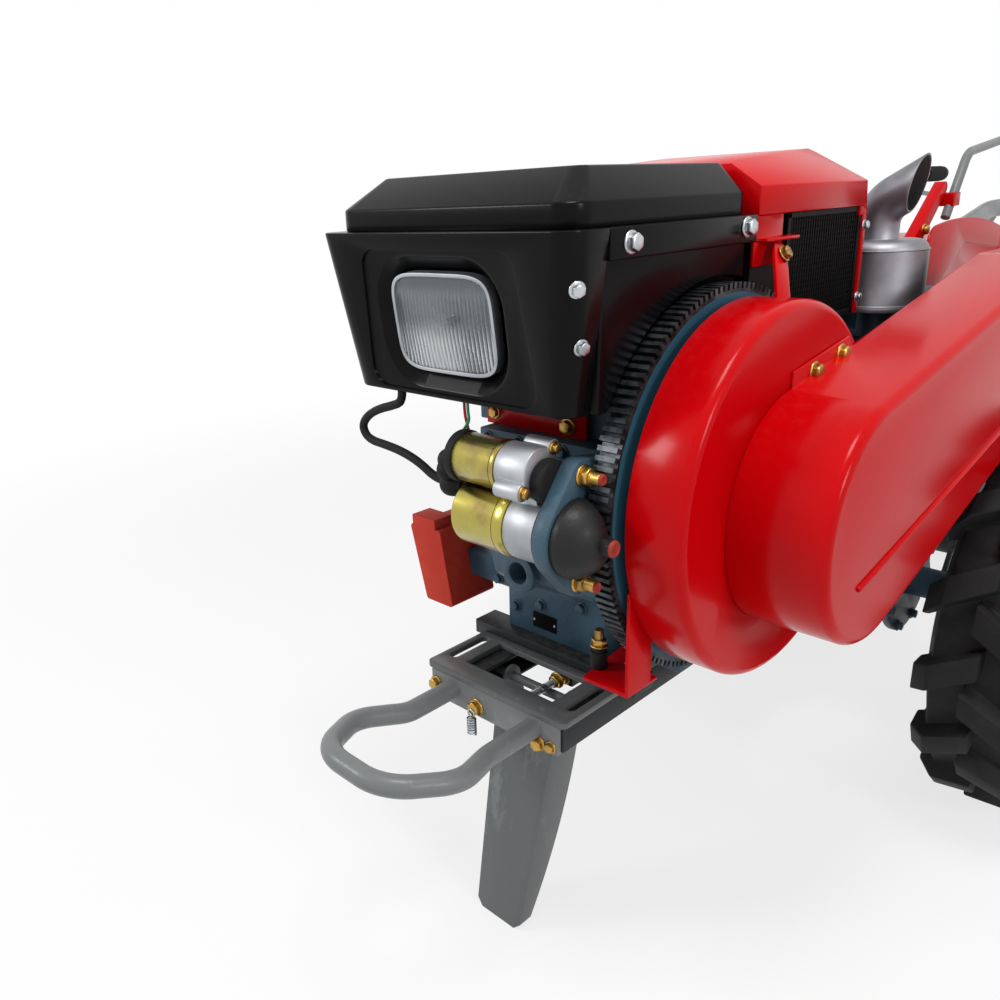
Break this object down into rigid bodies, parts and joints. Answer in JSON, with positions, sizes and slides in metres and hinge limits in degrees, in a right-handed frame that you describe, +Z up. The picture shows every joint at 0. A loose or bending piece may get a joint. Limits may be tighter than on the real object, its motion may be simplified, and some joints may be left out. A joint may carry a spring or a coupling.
{
  "type": "power tiller",
  "caption": "Two-wheeled walking tractor with a flat diesel engine, belt drive, headlamp, front stand, handlebars and a rear rotary tiller.",
  "frame": {"origin": "on the ground under the middle of the machine's box", "axes": "+Z up, -Y towards the front hoop, +X towards the belt side"},
  "size_m": [0.897, 2.394, 1.0037],
  "materials": {
    "dark_grey_paint": "scuffed dark grey paint",
    "black_paint": "semi-gloss black paint",
    "black_rail": "satin black paint",
    "red_paint": "gloss red paint",
    "blue_cast": "blue-grey painted casting",
    "ring_steel": "oiled gear steel",
    "zinc_yellow": "yellow zinc plating",
    "cast_aluminium": "bead-blasted casting",
    "silencer_silver": "heat-proof silver paint",
    "lamp_glass": "fluted lamp glass",
    "mesh_black": "black wire mesh",
    "box_red": "matte red plastic",
    "tyre_rubber": "dusty black rubber",
    "belt_rubber": "black belt rubber",
    "grip_black": "moulded black grip",
    "bar_grey": "bare steel tube",
    "boot_rubber": "soft black cable rubber",
    "green_lead": "green lead sleeve",
    "red_lead": "red lead sleeve",
    "tine_steel": "black painted spring steel"
  },
  "bodies": {
    "root": {"frame_rails": "black_rail", "engine_bearers": "black_rail", "front_plate": "dark_grey_paint", "bumper_hoop": "dark_grey_paint", "engine_block": "blue_cast", "cylinder": "blue_cast", "cylinder_head": "blue_cast", "starter_motor": "zinc_yellow", "starter_drive_end": "cast_aluminium", "starter_solenoid": "zinc_yellow", "starter_mount_plate": "blue_cast", "starter_dome": "black_paint", "flywheel_guard": "red_paint", "belt_guard": "red_paint", "drive_belts": "belt_rubber", "clutch_pulley": "blue_cast", "guard_bracket": "red_paint", "tank_bracket": "red_paint", "fuel_tank": "black_paint", "tank_crown": "black_paint", "lamp_housing": "black_paint", "headlamp": "lamp_glass", "radiator_core": "black_rail", "radiator_hood": "red_paint", "radiator_mesh": "mesh_black", "muffler": "silencer_silver", "air_cleaner": "black_paint", "tool_box": "box_red", "gearbox": "blue_cast", "gearbox_shroud": "red_paint", "handle_posts": "red_paint", "handle_tubes": "bar_grey", "handle_grips": "grip_black", "control_levers": "black_rail", "tiller_gearcase": "blue_cast", "tiller_hood": "red_paint", "tail_wheel_arm": "black_rail", "terminal_boots": "boot_rubber", "starter_cable": "boot_rubber", "lead_green": "green_lead", "lead_red": "red_lead"},
    "stand": {"front_stand": "dark_grey_paint"},
    "flywheel": {"flywheel": "ring_steel", "drive_pulley": "blue_cast"},
    "rotor": {"tiller_rotor": "tine_steel"},
    "tail_wheel": {"tail_wheel": "tyre_rubber"},
    "wheel_left": {"tyre_left": "tyre_rubber", "rim_left": "red_paint", "hub_left": "blue_cast"},
    "wheel_right": {"tyre_right": "tyre_rubber", "rim_right": "red_paint", "hub_right": "blue_cast"}
  },
  "joints": [
    {"name": "stand_fold", "type": "hinge", "parent": "root", "child": "stand", "pos_m": [0, -0.89, 0.304], "axis": [1, 0, 0], "range_deg": [0, 80]},
    {"name": "flywheel_spin", "type": "hinge", "parent": "root", "child": "flywheel", "pos_m": [0, -0.785, 0.589], "axis": [1, 0, 0], "continuous": true},
    {"name": "rotor_spin", "type": "hinge", "parent": "root", "child": "rotor", "pos_m": [0, 0.338, 0.25], "axis": [1, 0, 0], "continuous": true},
    {"name": "tail_wheel_spin", "type": "hinge", "parent": "root", "child": "tail_wheel", "pos_m": [0, 0.688, 0.113], "axis": [1, 0, 0], "continuous": true},
    {"name": "wheel_left_spin", "type": "hinge", "parent": "root", "child": "wheel_left", "pos_m": [0.376, -0.222, 0.29], "axis": [1, 0, 0], "continuous": true},
    {"name": "wheel_right_spin", "type": "hinge", "parent": "root", "child": "wheel_right", "pos_m": [-0.376, -0.222, 0.29], "axis": [1, 0, 0], "continuous": true}
  ]
}
